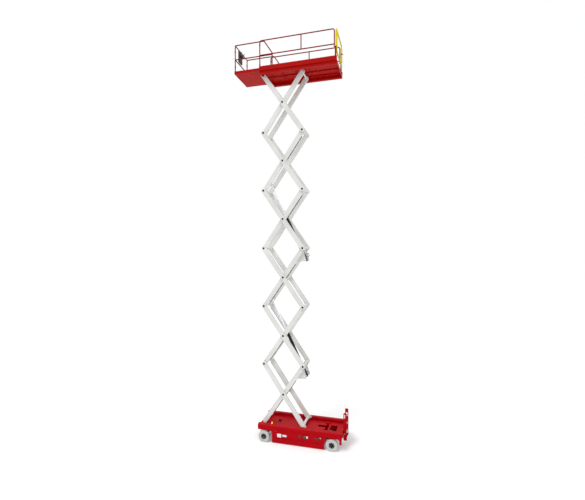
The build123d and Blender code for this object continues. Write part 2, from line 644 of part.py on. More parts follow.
for stage in range(STAGES):
    # rising pair, inside the other one
    plane = arm_plane(stage, rising=True)
    with BuildPart() as inner:
        add_arm_pair(plane, INNER_IN)
        bored = [LINK / 2]
        if stage == 0:
            add_shaft(plane, 0, PIN_R, INNER_OUT + PIN_HEAD)
        else:
            add_shaft(plane, 0, TUBE_R, INNER_IN)
            bored.append(0)
        if stage == STAGES - 1:
            add_shaft(plane, LINK, PIN_R, INNER_OUT + PIN_HEAD + ROLLER_W)
            add_rollers(plane, LINK, INNER_OUT + PIN_HEAD)
        else:
            add_shaft(plane, LINK, TUBE_R, INNER_IN)
            bored.append(LINK)
        with BuildSketch(plane):
            with Locations(*[(along, 0) for along in bored]):
                Circle(PIN_R + PIN_GAP)
        extrude(amount=INNER_OUT + 1, both=True, mode=Mode.SUBTRACT)
        if stage in (LOWER_CYL_STAGE, UPPER_CYL_STAGE):
            lobe = (LINK - LOBE_BACK, -LOBE_DROP)
            for start in (INNER_IN - 6 - LOBE_T, -INNER_IN + 6):
                with BuildSketch(plane.offset(start)):
                    with Locations(lobe):
                        Circle(LOBE_R)
                    with Locations((LINK - 310, -15)):
                        Rectangle(460, 90)
                    make_hull()
                extrude(amount=LOBE_T)
            for start in (INNER_IN - 6, -INNER_IN):
                with BuildSketch(plane.offset(start)):
                    with Locations((LINK - 310, -15)):
                        Rectangle(460, 90)
                extrude(amount=6)
            with BuildSketch(plane):
                with Locations(lobe):
                    Circle(CYL_PIN_R)
            extrude(amount=INNER_IN, both=True)
        if stage in (LOWER_CYL_STAGE + 2, UPPER_CYL_STAGE + 2):
            add_shaft(plane, ROD_PIN_ALONG, CYL_PIN_R, INNER_OUT + 4)
    save(inner.part, f"inner_arms_{stage + 1}")

    # falling pair, outside, with the knuckle pins and the centre stubs
    plane = arm_plane(stage, rising=False)
    with BuildPart() as outer:
        add_arm_pair(plane, OUTER_IN)
        top_reach = OUTER_OUT + PIN_HEAD + (16 if stage == STAGES - 1 else 0)
        add_shaft(plane, 0, PIN_R, top_reach)
        if stage == 0:
            add_shaft(plane, LINK, PIN_R, OUTER_OUT + PIN_HEAD + ROLLER_W)
            add_shaft(plane, LINK, TUBE_R, OUTER_IN)
            add_rollers(plane, LINK, OUTER_OUT + PIN_HEAD)
            add_feet(plane)
        else:
            add_shaft(plane, LINK, PIN_R, OUTER_OUT + PIN_HEAD)
        stub_in = INNER_IN - 4
        for start in (stub_in, -OUTER_OUT - PIN_HEAD):
            with BuildSketch(plane.offset(start)):
                with Locations((LINK / 2, 0)):
                    Circle(PIN_R)
            extrude(amount=OUTER_OUT + PIN_HEAD - stub_in)
    save(outer.part, f"outer_arms_{stage + 1}")

# ------------------------------------------------------------------ hoses clipped to the arms
HOSE_R = 12
EDGE = ARM_DEPTH / 2
INNER_HOSE_Y, OUTER_HOSE_Y = INNER_IN - HOSE_R - 1, OUTER_IN + 30
INNER_HOSE_DROP, OUTER_HOSE_DROP = EDGE + 8, EDGE + HOSE_R + 0.5
LOOP_R, LOOP_TUBE_R = 60, 9       # slack loop beside a cylinder's foot
LOOP_BACK, LOOP_DROP = 120, 262
LOOP_Y = 236
INNER_HOSES = {
    # stage: (start, end) along the near inner arm
    0: (330, LINK - 560),
    1: (120, LINK / 2 - 60),
    2: (120, LINK - 560),
    3: (LINK / 2 + 60, LINK - 120),
    4: (LINK / 2 + 60, LINK - 120),
}
OUTER_HOSES = {
    # stage: (start, end) along the far outer arm
    0: (130, LINK / 2 - 60),
    1: (130, LINK / 2 - 60),
}


def on_arm(plane, along, across, y):
    """Point beside an arm, in the machine's frame."""
    point = plane.from_local_coords(Vector(along, across, -y))
    return (point.X, y, point.Z)


for stage, (start, end) in INNER_HOSES.items():
    plane = arm_plane(stage, rising=True)
    with BuildPart() as hose:
        add_tube(
            on_arm(plane, start, -30, -INNER_HOSE_Y),
            on_arm(plane, start + 90, -INNER_HOSE_DROP, -INNER_HOSE_Y),
            on_arm(plane, end - 90, -INNER_HOSE_DROP, -INNER_HOSE_Y),
            on_arm(plane, end, -30, -INNER_HOSE_Y),
            radius=HOSE_R,
            bend=60,
        )
        if stage in (LOWER_CYL_STAGE, UPPER_CYL_STAGE):
            with BuildSketch(plane.offset(LOOP_Y)):
                with Locations((LINK - LOOP_BACK, -LOOP_DROP)):
                    Circle(LOOP_R + LOOP_TUBE_R)
                with Locations((LINK - LOOP_BACK, -LOOP_DROP)):
                    Circle(LOOP_R - LOOP_TUBE_R, mode=Mode.SUBTRACT)
            extrude(amount=LOOP_TUBE_R, both=True)
            loops = hose.part.solids().sort_by(SortBy.VOLUME)[0]
            fillet(loops.edges(), radius=LOOP_TUBE_R * 0.9)
    save(hose.part, f"inner_hose_{stage + 1}")

for stage, (start, end) in OUTER_HOSES.items():
    plane = arm_plane(stage, rising=False)
    with BuildPart() as hose:
        add_tube(
            on_arm(plane, start, -OUTER_HOSE_DROP, OUTER_HOSE_Y),
            on_arm(plane, end, -OUTER_HOSE_DROP, OUTER_HOSE_Y),
            radius=HOSE_R,
        )
    save(hose.part, f"outer_hose_{stage + 1}")

# ------------------------------------------------------------------ lift cylinders
slope = radians(LIFT_ANGLE)
lobe_dx = -LOBE_BACK * cos(slope) + LOBE_DROP * sin(slope)
lobe_dz = -LOBE_BACK * sin(slope) - LOBE_DROP * cos(slope)
for name, stage in (("lower", LOWER_CYL_STAGE), ("upper", UPPER_CYL_STAGE)):
    foot = Vector(FIXED_X + REACH + lobe_dx, 0, BASE_PIN_Z + (stage + 1) * RISE + lobe_dz)
    head = Vector(
        FIXED_X + ROD_PIN_ALONG * cos(slope),
        0,
        BASE_PIN_Z + (stage + 2) * RISE + ROD_PIN_ALONG * sin(slope),
    )
    way = (head - foot).normalized()
    stretch = (head - foot).length
    side_view = Plane(origin=foot, x_dir=way, z_dir=(0, -1, 0))
    end_view = Plane(origin=foot, x_dir=(0, 1, 0), z_dir=way)

    with BuildPart() as barrel:
        with BuildSketch(end_view.offset(LOBE_R - 5)):
            Circle(BARREL_R)
        extrude(amount=BARREL_LEN - LOBE_R + 5)
        with BuildSketch(side_view):
            Circle(LOBE_R - 3)
            with Locations((LOBE_R / 2, 0)):
                Rectangle(LOBE_R, 2 * (LOBE_R - 3))
        extrude(amount=40, both=True)
        with BuildSketch(side_view):
            Circle(CYL_PIN_R + PIN_GAP)
        extrude(amount=41, both=True, mode=Mode.SUBTRACT)
        with BuildSketch(end_view.offset(160)):
            Circle(ROD_R + PIN_GAP)
        extrude(amount=BARREL_LEN, mode=Mode.SUBTRACT)
    save(barrel.part, f"{name}_lift_barrel")

    with BuildPart() as rod:
        with BuildSketch(end_view.offset(stretch - ROD_LEN)):
            Circle(ROD_R)
        extrude(amount=ROD_LEN - CYL_PIN_R - 6)
        with BuildSketch(Plane(origin=head, x_dir=way, z_dir=(0, -1, 0))):
            Circle(CYL_PIN_R + 20)
        extrude(amount=35, both=True)
        with BuildSketch(Plane(origin=head, x_dir=way, z_dir=(0, -1, 0))):
            Circle(CYL_PIN_R + PIN_GAP)
        extrude(amount=36, both=True, mode=Mode.SUBTRACT)
    save(rod.part, f"{name}_lift_rod")

# ------------------------------------------------------------------ platform deck
SIDE_BOX_IN, SIDE_BOX_OUT = 500, 600
SHEET = 6
STEP_Z = DECK_UNDER + 105         # the side beam is set in under this step
FLOOR_UNDER = FLOOR_TOP - FLOOR_T
DECK_X = (DECK_FRONT + DECK_REAR) / 2
DECK_LEN = DECK_REAR - DECK_FRONT
EAR_T, RIB_T = 16, 8
RAIL_UNDER = TOP_PIN_Z + ROLLER_R + PIN_GAP
RIB_X = (AXLES_X - 600, AXLES_X - 100, AXLES_X + 400)
with BuildPart() as deck:
    with BuildSketch(Plane.XY.offset(FLOOR_UNDER)):
        with Locations((DECK_X, 0)):
            Rectangle(DECK_LEN, 2 * DECK_HALF)
    extrude(amount=FLOOR_T)
    for side in SIDES.values():
        with BuildSketch(Plane.YZ.offset(DECK_FRONT)):
            with BuildLine():
                Polyline(
                    (side * DECK_HALF, STEP_Z),
                    (side * DECK_HALF, TOE_TOP),
                    (side * (DECK_HALF - SHEET), TOE_TOP),
                    (side * (DECK_HALF - SHEET), STEP_Z + SHEET),
                    (side * (SIDE_BOX_OUT - SHEET), STEP_Z + SHEET),
                    (side * (SIDE_BOX_OUT - SHEET), DECK_UNDER + SHEET),
                    (side * (SIDE_BOX_IN + SHEET), DECK_UNDER + SHEET),
                    (side * (SIDE_BOX_IN + SHEET), FLOOR_UNDER),
                    (side * SIDE_BOX_IN, FLOOR_UNDER),
                    (side * SIDE_BOX_IN, DECK_UNDER),
                    (side * SIDE_BOX_OUT, DECK_UNDER),
                    (side * SIDE_BOX_OUT, STEP_Z),
                    close=True,
                )
            make_face()
        extrude(amount=DECK_LEN)
        # ear for the fixed top pin
        with BuildSketch(side_plane(side, OUTER_OUT + PIN_HEAD - 1)):
            with Locations((FIXED_X, TOP_PIN_Z)):
                Circle(LUG_R)
            with Locations((FIXED_X, (TOP_PIN_Z + FLOOR_UNDER) / 2)):
                Rectangle(2 * LUG_R, FLOOR_UNDER - TOP_PIN_Z)
            with Locations((FIXED_X, TOP_PIN_Z)):
                Circle(PIN_R + PIN_GAP, mode=Mode.SUBTRACT)
        extrude(amount=outward(side, EAR_T))
        # roller rail
        with BuildSketch(Plane.YZ.offset(FIXED_X + REACH - 90)):
            with Locations((side * (INNER_OUT + PIN_HEAD + ROLLER_W / 2), (RAIL_UNDER + FLOOR_UNDER) / 2)):
                Rectangle(ROLLER_W + 8, FLOOR_UNDER - RAIL_UNDER)
        extrude(amount=LINK - REACH + 150)
    # centre rib and cross ribs under the floor
    with BuildSketch(Plane.YZ.offset(DECK_FRONT)):
        with Locations((0, FLOOR_UNDER - 16)):
            Rectangle(RIB_T, 32)
    extrude(amount=DECK_LEN)
    for x in RIB_X:
        with BuildSketch(Plane.YZ.offset(x)):
            with Locations((0, FLOOR_UNDER - 16)):
                Rectangle(2 * INNER_IN - 20, 32)
        extrude(amount=RIB_T)
    with BuildSketch(Plane.YZ.offset(DECK_REAR - SHEET)):
        with Locations((0, (DECK_UNDER + FLOOR_TOP) / 2)):
            Rectangle(2 * SIDE_BOX_OUT, FLOOR_TOP - DECK_UNDER)
        with Locations((0, (STEP_Z + FLOOR_TOP) / 2)):
            Rectangle(2 * DECK_HALF, FLOOR_TOP - STEP_Z)
    extrude(amount=SHEET)
save(deck.part, "platform_deck")

# ------------------------------------------------------------------ guardrails
TOP_Z = RAIL_TOP - RAIL_R
REAR_POST_X = DECK_REAR - 90
STUB_TOP = FLOOR_TOP + 440
GATE_X = DECK_REAR - 24
INFILL_X = AXLES_X + 200


with BuildPart() as guardrails:
    for side in SIDES.values():
        y = side * MAIN_RAIL_Y
        add_tube((DECK_FRONT + 25, y, FLOOR_TOP), (DECK_FRONT + 25, y, TOP_Z),
                 (REAR_POST_X, y, TOP_Z), (REAR_POST_X, y, STUB_TOP), bend=70)
        add_tube((DECK_FRONT + 25, y, MID_RAIL), (REAR_POST_X, y, MID_RAIL))
        add_tube((INFILL_X, y, MID_RAIL), (INFILL_X, y, TOP_Z))
        with BuildSketch(Plane.XY.offset(FLOOR_TOP)):
            with Locations((GATE_X - 25, y)):
                Rectangle(50, 36)
        extrude(amount=STUB_TOP - FLOOR_TOP)
        with BuildSketch(Plane.XY.offset(STUB_TOP)):
            with Locations(((REAR_POST_X - 25 + GATE_X) / 2, y)):
                Rectangle(GATE_X - REAR_POST_X + 25, 40)
        extrude(amount=16)
save(guardrails.part, "platform_guardrails")

EXT_REAR = DECK_FRONT + EXT_OVERLAP
EXT_HALF = 578
EXT_UNDER = FLOOR_TOP + 6
EXT_FLOOR_REAR = DECK_FRONT + 60
with BuildPart() as extension:
    with BuildSketch(Plane.XY.offset(EXT_UNDER)):
        with Locations(((EXT_FRONT + EXT_FLOOR_REAR) / 2, 0)):
            Rectangle(EXT_FLOOR_REAR - EXT_FRONT, 2 * EXT_HALF)
    extrude(amount=12)
    for side in SIDES.values():
        with BuildSketch(side_plane(side, EXT_HALF - SHEET)):
            with Locations(((EXT_FRONT + EXT_REAR) / 2, EXT_UNDER + 50)):
                Rectangle(EXT_REAR - EXT_FRONT, 100)
        extrude(amount=outward(side, SHEET))
    with BuildSketch(Plane.YZ.offset(EXT_FRONT)):
        with Locations((0, EXT_UNDER + 50)):
            Rectangle(2 * EXT_HALF, 100)
    extrude(amount=SHEET)
save(extension.part, "extension_deck")

with BuildPart() as extension_rails:
    for side in SIDES.values():
        y = side * EXT_RAIL_Y
        add_tube((EXT_FRONT + 25, y, EXT_UNDER + 12), (EXT_FRONT + 25, y, TOP_Z),
                 (EXT_REAR - 330, y, TOP_Z), (EXT_REAR - 30, y, MID_RAIL + 60),
                 (EXT_REAR - 30, y, EXT_UNDER + 100), bend=60)
        add_tube((EXT_FRONT + 25, y, MID_RAIL), (EXT_REAR - 30, y, MID_RAIL))
    for z in (TOP_Z, MID_RAIL):
        add_tube((EXT_FRONT + 25, -EXT_RAIL_Y, z), (EXT_FRONT + 25, EXT_RAIL_Y, z))
save(extension_rails.part, "extension_guardrails")

BOX_Y = -210
with BuildPart() as control_box:
    with BuildSketch(Plane.XZ.offset(-BOX_Y - 150)):
        with BuildLine():
            Polyline(
                (EXT_FRONT + 48, MID_RAIL - 60),
                (EXT_FRONT + 48, RAIL_TOP + 20),
                (EXT_FRONT + 110, RAIL_TOP + 20),
                (EXT_FRONT + 230, RAIL_TOP - 70),
                (EXT_FRONT + 230, RAIL_TOP - 180),
                (EXT_FRONT + 150, RAIL_TOP - 260),
                (EXT_FRONT + 150, MID_RAIL - 60),
                close=True,
            )
        make_face()
    extrude(amount=300)
save(control_box.part, "platform_control_box")

GATE_Y, GATE_R = 555, 24
GATE_BOTTOM = FLOOR_TOP + 320
GATE_POSTS = {NEAR: GATE_BOTTOM, FAR: GATE_BOTTOM - 105}
with BuildPart() as gate:
    for side, foot in GATE_POSTS.items():
        y = side * GATE_Y
        add_tube((GATE_X, y, foot), (GATE_X, y, TOP_Z), radius=GATE_R)
    for z in (GATE_BOTTOM, TOP_Z):
        add_tube((GATE_X, -GATE_Y, z), (GATE_X, GATE_Y, z), radius=GATE_R)
save(gate.part, "entry_gate")
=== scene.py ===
import json
from math import atan2, cos, pi, radians, sin

import bpy
from mathutils import Matrix, Vector


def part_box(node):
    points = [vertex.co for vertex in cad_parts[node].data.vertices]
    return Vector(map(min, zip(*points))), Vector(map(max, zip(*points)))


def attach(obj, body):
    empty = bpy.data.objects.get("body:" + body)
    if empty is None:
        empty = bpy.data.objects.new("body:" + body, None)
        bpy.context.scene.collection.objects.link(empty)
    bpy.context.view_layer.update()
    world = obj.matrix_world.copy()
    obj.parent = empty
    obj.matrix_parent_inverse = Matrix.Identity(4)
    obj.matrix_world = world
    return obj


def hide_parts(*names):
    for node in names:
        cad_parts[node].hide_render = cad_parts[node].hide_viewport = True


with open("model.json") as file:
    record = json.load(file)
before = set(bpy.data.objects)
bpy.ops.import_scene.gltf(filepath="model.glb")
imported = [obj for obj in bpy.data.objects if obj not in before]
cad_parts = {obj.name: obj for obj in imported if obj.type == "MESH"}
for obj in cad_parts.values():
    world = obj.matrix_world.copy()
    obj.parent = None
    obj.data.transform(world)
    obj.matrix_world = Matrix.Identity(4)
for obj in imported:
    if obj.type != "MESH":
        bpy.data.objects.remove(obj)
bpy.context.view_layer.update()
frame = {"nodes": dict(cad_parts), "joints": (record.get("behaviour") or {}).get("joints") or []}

# ------------------------------------------------------------------ camera, floor and light
# The camera stands off the near side and looks level, turned this far towards the front wheels.
VIEW_TURN = radians(15.9)
CAMERA_AT = (3.775, -13.204, 6.807)
CAMERA_ROLL = radians(-0.216)
SENSOR, LENS = 36, 23.2153846
FARTHEST = 200

eye = bpy.data.cameras.new("camera")
eye.sensor_width = SENSOR
eye.lens = LENS
eye.clip_end = FARTHEST
camera = bpy.data.objects.new("camera", eye)
bpy.context.scene.collection.objects.link(camera)
looking = Vector((-sin(VIEW_TURN), cos(VIEW_TURN), 0))
camera.matrix_world = (
    Matrix.Translation(CAMERA_AT)
    @ looking.to_track_quat("-Z", "Y").to_matrix().to_4x4()
    @ Matrix.Rotation(CAMERA_ROLL, 4, "Z")
)
bpy.context.scene.camera = camera
bpy.context.scene.view_settings.view_transform = "Standard"


class Value:
    """A number that changes over a surface. Sums and products of it add Math nodes."""

    def __init__(self, coat, socket):
        self.coat = coat
        self.socket = socket

    def maths(self, operation, first, second):
        return self.coat.node("ShaderNodeMath", {"operation": operation}, {0: first, 1: second})

    def __add__(self, other):
        return self.maths("ADD", self, other)

    def __radd__(self, other):
        return self.maths("ADD", other, self)

    def __sub__(self, other):
        return self.maths("SUBTRACT", self, other)

    def __rsub__(self, other):
        return self.maths("SUBTRACT", other, self)

    def __mul__(self, other):
        return self.maths("MULTIPLY", self, other)

    def __rmul__(self, other):
        return self.maths("MULTIPLY", other, self)


class Coat:
    """One material, made node by node."""

    def __init__(self, name):
        self.material = bpy.data.materials.new(name)
        self.material.use_nodes = True
        self.tree = self.material.node_tree
        self.tree.nodes.clear()

    def node(self, kind, settings, sockets, out=0):
        """Adds a node: settings first, then a value or a link for each socket."""
        made = self.tree.nodes.new(kind)
        for key, value in settings.items():
            if key == "stops":
                for stop, (place, shade) in zip(made.color_ramp.elements, value):
                    stop.position = place
                    stop.color = (shade, shade, shade, 1)
            else:
                setattr(made, key, value)
        for key, value in sockets.items():
            if isinstance(value, Value):
                self.tree.links.new(value.socket, made.inputs[key])
            else:
                made.inputs[key].default_value = value
        return Value(self, made.outputs[out])

    def place(self, stretch=(1, 1, 1)):
        point = self.node("ShaderNodeTexCoord", {}, {}, out="Object")
        return self.node("ShaderNodeMapping", {}, {"Vector": point, "Scale": stretch})

    def noise(self, scale, detail=3, stretch=(1, 1, 1)):
        sockets = {"Vector": self.place(stretch), "Scale": scale, "Detail": detail}
        return self.node("ShaderNodeTexNoise", {}, sockets)

    def band(self, value, low, high):
        """0 below low, 1 above high."""
        return self.node("ShaderNodeValToRGB", {"stops": [(low, 0), (high, 1)]}, {"Fac": value})

    def tint(self, factor, first, second):
        first, second = ((*c, 1) if isinstance(c, tuple) else c for c in (first, second))
        return self.node("ShaderNodeMix", {"data_type": "RGBA"}, {0: factor, 6: first, 7: second}, out=2)

    def bump(self, height, strength):
        return self.node("ShaderNodeBump", {}, {"Height": height, "Strength": strength, "Distance": 0.001})

    def surface(self, **sockets):
        sockets = {key.replace("_", " "): value for key, value in sockets.items()}
        shader = self.node("ShaderNodeBsdfPrincipled", {}, sockets)
        return self.closed(shader)

    def closed(self, shader):
        """Joins the last shader to the output."""
        end = self.tree.nodes.new("ShaderNodeOutputMaterial")
        self.tree.links.new(shader.socket, end.inputs["Surface"])
        return self.material


def seen_rays(coat):
    """1 for what the camera, a gloss or a clear part sees straight on, 0 for light on the object."""
    total = 0
    for ray in ("Is Camera Ray", "Is Glossy Ray", "Is Transmission Ray"):
        total = coat.node("ShaderNodeLightPath", {}, {}, out=ray) + total
    return coat.node("ShaderNodeMath", {"operation": "MINIMUM"}, {0: total, 1: 1.0})


class Sky(Coat):
    """The world's own tree, used as a material's is."""

    def __init__(self):
        self.tree = bpy.context.scene.world.node_tree
        self.tree.nodes.clear()


SKY_LIGHT = 0.62
bpy.context.scene.world = bpy.data.worlds.new("studio")
bpy.context.scene.world.use_nodes = True
sky = Sky()
glow = seen_rays(sky) * (1 - SKY_LIGHT) + SKY_LIGHT
backdrop = sky.node("ShaderNodeBackground", {}, {"Color": (1, 1, 1, 1), "Strength": glow})
sky_end = sky.tree.nodes.new("ShaderNodeOutputWorld")
sky.tree.links.new(backdrop.socket, sky_end.inputs["Surface"])

LAMPS = {
    # name: (turn round the machine from -Y towards +X, height, strength, soft angle)
    "key_lamp": (-34, 57, 1.45, 24),
    "fill_lamp": (52, 18, 0.45, 50),
}
for name, (turn, height, strength, soft) in LAMPS.items():
    lamp = bpy.data.lights.new(name, "SUN")
    lamp.energy = strength
    lamp.angle = radians(soft)
    shining = bpy.data.objects.new(name, lamp)
    bpy.context.scene.collection.objects.link(shining)
    a, e = radians(turn), radians(height)
    towards = -Vector((sin(a) * cos(e), -cos(a) * cos(e), sin(e)))
    shining.rotation_mode = "QUATERNION"
    shining.rotation_quaternion = towards.to_track_quat("-Z", "Y")

FLOOR_SIZE = 160
FLOOR_SHADE, FLOOR_GLOW = 0.86, 0.21
floor_coat = Coat("studio_floor")
pale = floor_coat.node("ShaderNodeBsdfDiffuse", {}, {"Color": (FLOOR_SHADE, FLOOR_SHADE, FLOOR_SHADE, 1)})
shine = floor_coat.node("ShaderNodeEmission", {}, {"Strength": seen_rays(floor_coat) * FLOOR_GLOW})
floor_coat.closed(floor_coat.node("ShaderNodeAddShader", {}, {0: pale, 1: shine}))
bpy.ops.object.select_all(action="DESELECT")
bpy.ops.mesh.primitive_plane_add(size=FLOOR_SIZE, location=(0, 0, 0))
floor = bpy.context.object
floor.name = "studio_floor"
floor.data.materials.append(floor_coat.material)


# ------------------------------------------------------------------ finishes
def worn_paint(name, colour, chip, roughness=0.34, dust=(0.30, 0.10, 0.08), dirt=0.05, gloss=0.05):
    """Sprayed paint: cloudy shade, orange peel, dusty patches, fine scratches and small chips."""
    paint = Coat(name)
    cloud = paint.noise(1.7, 4)
    peel = paint.noise(190, 2)
    scuff = paint.noise(11, 8, (1, 1, 6))
    scratch = paint.band(paint.noise(5, 9, (42, 42, 3)), 0.66, 0.7)
    chips = paint.band(paint.noise(58, 6), 0.735, 0.75)
    dusty = paint.band(scuff, 0.42, 0.78) * dirt
    deep = tuple(c * 0.86 for c in colour)
    shade = paint.tint(paint.band(cloud, 0.3, 0.7), deep, colour)
    shade = paint.tint(dusty, shade, dust)
    shade = paint.tint(scratch * 0.12, shade, tuple(min(1, c * 1.3 + 0.02) for c in colour))
    shade = paint.tint(chips, shade, chip)
    rough = roughness + dusty * 1.2 + scratch * 0.1 + cloud * 0.08
    height = peel * 0.35 - chips * 0.6 - scratch * 0.15
    return paint.surface(
        Base_Color=shade,
        Roughness=rough,
        Normal=paint.bump(height, 0.12),
        Specular_IOR_Level=gloss,
    )


def dull_rubber(name, colour, scuffed, roughness=0.72):
    """Grainy rubber with scuffed patches and dark specks."""
    rubber = Coat(name)
    grain = rubber.noise(130, 5)
    smear = rubber.band(rubber.noise(9, 7), 0.36, 0.66)
    specks = rubber.band(rubber.noise(70, 4), 0.62, 0.7)
    shade = rubber.tint(smear, colour, scuffed)
    shade = rubber.tint(specks * 0.45, shade, tuple(c * 0.45 for c in colour))
    return rubber.surface(
        Base_Color=shade,
        Roughness=roughness + grain * 0.15,
        Normal=rubber.bump(grain + smear * 0.5, 0.3),
    )


def bare_metal(name, colour, roughness, brush=(1, 1, 1), pits=0.2):
    """Metal brushed one way, with duller blotches."""
    metal = Coat(name)
    streak = metal.noise(60, 4, brush)
    blotch = metal.band(metal.noise(7, 5), 0.35, 0.7)
    shade = metal.tint(blotch * pits, colour, tuple(c * 0.55 for c in colour))
    return metal.surface(
        Base_Color=shade,
        Metallic=1.0,
        Roughness=roughness + streak * 0.12 + blotch * 0.06,
        Normal=metal.bump(streak, 0.08),
    )


def moulded(name, colour, roughness=0.5, grain=240, glow=0.0):
    """Plastic with a fine pebbled skin that has faded in places."""
    plastic = Coat(name)
    pebble = plastic.noise(grain, 3)
    fade = plastic.band(plastic.noise(6, 4), 0.3, 0.75)
    shade = plastic.tint(fade, colour, tuple(min(1, c * 1.18 + 0.006) for c in colour))
    return plastic.surface(
        Base_Color=shade,
        Roughness=roughness + fade * 0.1,
        Normal=plastic.bump(pebble, 0.15),
        Emission_Color=(*colour, 1),
        Emission_Strength=glow,
    )


FINISHES = {
    "red_paint": worn_paint("red_paint", (0.46, 0.0005, 0.006), (0.10, 0.02, 0.02)),
    "deck_red": worn_paint("deck_red", (0.45, 0.002, 0.001), (0.12, 0.03, 0.02), 0.4, gloss=0.07),
    "rail_red": worn_paint("rail_red", (0.27, 0.0005, 0.005), (0.12, 0.03, 0.02), 0.3),
    "arm_paint": worn_paint("arm_paint", (0.79, 0.80, 0.775), (0.28, 0.27, 0.25), 0.42,
                            (0.50, 0.49, 0.46), 0.16, 0.3),
    "yellow_paint": worn_paint("yellow_paint", (0.84, 0.68, 0.006), (0.2, 0.15, 0.05), 0.34,
                               (0.5, 0.42, 0.1)),
    "black_paint": worn_paint("black_paint", (0.018, 0.018, 0.019), (0.2, 0.19, 0.18), 0.38,
                              (0.20, 0.18, 0.16), 0.2),
    "grey_tyre": dull_rubber("grey_tyre", (0.56, 0.58, 0.57), (0.49, 0.50, 0.49)),
    "chrome_rod": bare_metal("chrome_rod", (0.83, 0.85, 0.88), 0.12, (1, 1, 30), 0.1),
    "zinc_steel": bare_metal("zinc_steel", (0.58, 0.58, 0.56), 0.36, (20, 1, 1)),
    "black_plastic": moulded("black_plastic", (0.024, 0.024, 0.026)),
    "battery_case": moulded("battery_case", (0.045, 0.046, 0.05), 0.6, 120),
    "hose_rubber": dull_rubber("hose_rubber", (0.012, 0.012, 0.014), (0.03, 0.03, 0.033), 0.5),
    "amber_lens": moulded("amber_lens", (1.0, 0.52, 0.02), 0.2, 60, 0.5),
    "bare_plate": moulded("bare_plate", (0.74, 0.74, 0.72), 0.4, 300),
    "signal_red": moulded("signal_red", (0.55, 0.01, 0.01), 0.3, 300),
}
WHEELS = ("front_near", "front_far", "rear_near", "rear_far")
NODE_FINISH = {
    "red_paint": ["chassis_frame", "entry_ladder", "near_side_door", "far_side_door",
                  "near_pothole_guard", "far_pothole_guard", "ground_control_panel",
                  "front_axle", "near_steering_knuckle", "far_steering_knuckle"],
    "hose_rubber": [f"inner_hose_{k}" for k in range(1, 6)] + ["outer_hose_1", "outer_hose_2"],
    "deck_red": ["platform_deck", "extension_deck"],
    "rail_red": ["platform_guardrails", "extension_guardrails"],
    "yellow_paint": ["entry_gate"],
    "black_paint": ["rear_drive_axle", "lower_lift_barrel", "upper_lift_barrel",
                    *(f"{wheel}_hub" for wheel in WHEELS)],
    "grey_tyre": [f"{wheel}_tyre" for wheel in WHEELS],
    "chrome_rod": ["lower_lift_rod", "upper_lift_rod"],
    "zinc_steel": ["tie_rod"],
    "black_plastic": ["platform_control_box"],
    "battery_case": ["battery_pack"],
    "amber_lens": ["beacon"],
    "arm_paint": [f"{pair}_arms_{k}" for pair in ("inner", "outer") for k in range(1, 7)],
}
for finish, names in NODE_FINISH.items():
    for name in names:
        node = frame["nodes"][name]
        node.data.materials.clear()
        node.data.materials.append(FINISHES[finish])


# ------------------------------------------------------------------ modelling by hand
def alone(piece):
    """Makes the piece the only one selected, and the active one."""
    bpy.ops.object.select_all(action="DESELECT")
    piece.select_set(True)
    bpy.context.view_layer.objects.active = piece
    return piece


def set_down(piece):
    """Puts the place, turn and size of a piece into its mesh."""
    alone(piece)
    bpy.ops.object.transform_apply(location=True, rotation=True, scale=True)
    return piece


def pick(piece, wanted):
    """In edit mode, selects the faces whose middle and direction pass the test."""
    bpy.ops.mesh.select_mode(type="FACE")
    bpy.ops.mesh.select_all(action="DESELECT")
    bpy.ops.object.mode_set(mode="OBJECT")
    for face in piece.data.polygons:
        face.select = wanted(face.center, face.normal)
    bpy.ops.object.mode_set(mode="EDIT")


def stepped(piece, wanted, border, move=None):
    """Draws a border inside the faces that pass the test, and moves what it surrounds."""
    alone(piece)
    bpy.ops.object.mode_set(mode="EDIT")
    pick(piece, wanted)
    bpy.ops.mesh.inset(thickness=border)
    if move:
        bpy.ops.mesh.extrude_region_move(TRANSFORM_OT_translate={"value": move})
    bpy.ops.object.mode_set(mode="OBJECT")
    return piece


def faces_up(at, out):
    return out.z > 0.5


def cube(size, at, turn=(0, 0, 0)):
    """A block with square edges."""
    bpy.ops.object.select_all(action="DESELECT")
    bpy.ops.mesh.primitive_cube_add(size=1, location=at, scale=size, rotation=turn)
    return set_down(bpy.context.object)


def block(size, at, edge=0.002, tilt=0.0, segments=2):
    """A block with rounded edges, tilted about Y."""
    piece = cube(size, at, (0, tilt, 0))
    bpy.ops.object.mode_set(mode="EDIT")
    bpy.ops.mesh.select_all(action="SELECT")
    bpy.ops.mesh.bevel(offset=edge, segments=segments, affect="EDGES")
    bpy.ops.object.mode_set(mode="OBJECT")
    return piece


def turned(profile, at, along, steps=32):
    """A part from the lathe: points (distance along the axis, radius), spun round the axis."""
    at = Vector(at)
    along = Vector(along).normalized()
    across = along.orthogonal().normalized()
    points = [at + along * reach + across * radius for reach, radius in profile]
    bpy.ops.object.select_all(action="DESELECT")
    bpy.ops.mesh.primitive_plane_add(size=0.01, location=points[0])
    piece = set_down(bpy.context.object)
    bpy.ops.object.mode_set(mode="EDIT")
    bpy.ops.mesh.select_mode(type="VERT")
    bpy.ops.mesh.select_all(action="SELECT")
    bpy.ops.mesh.merge(type="CENTER")
    for here, there in zip(points, points[1:]):
        bpy.ops.mesh.extrude_region_move(TRANSFORM_OT_translate={"value": there - here})
    bpy.ops.mesh.select_all(action="SELECT")
    bpy.ops.mesh.spin(steps=steps, angle=2 * pi, center=at, axis=along)
    bpy.ops.mesh.select_all(action="SELECT")
    bpy.ops.mesh.remove_doubles(threshold=0.00002)
    bpy.ops.mesh.normals_make_consistent(inside=False)
    bpy.ops.object.mode_set(mode="OBJECT")
    return piece


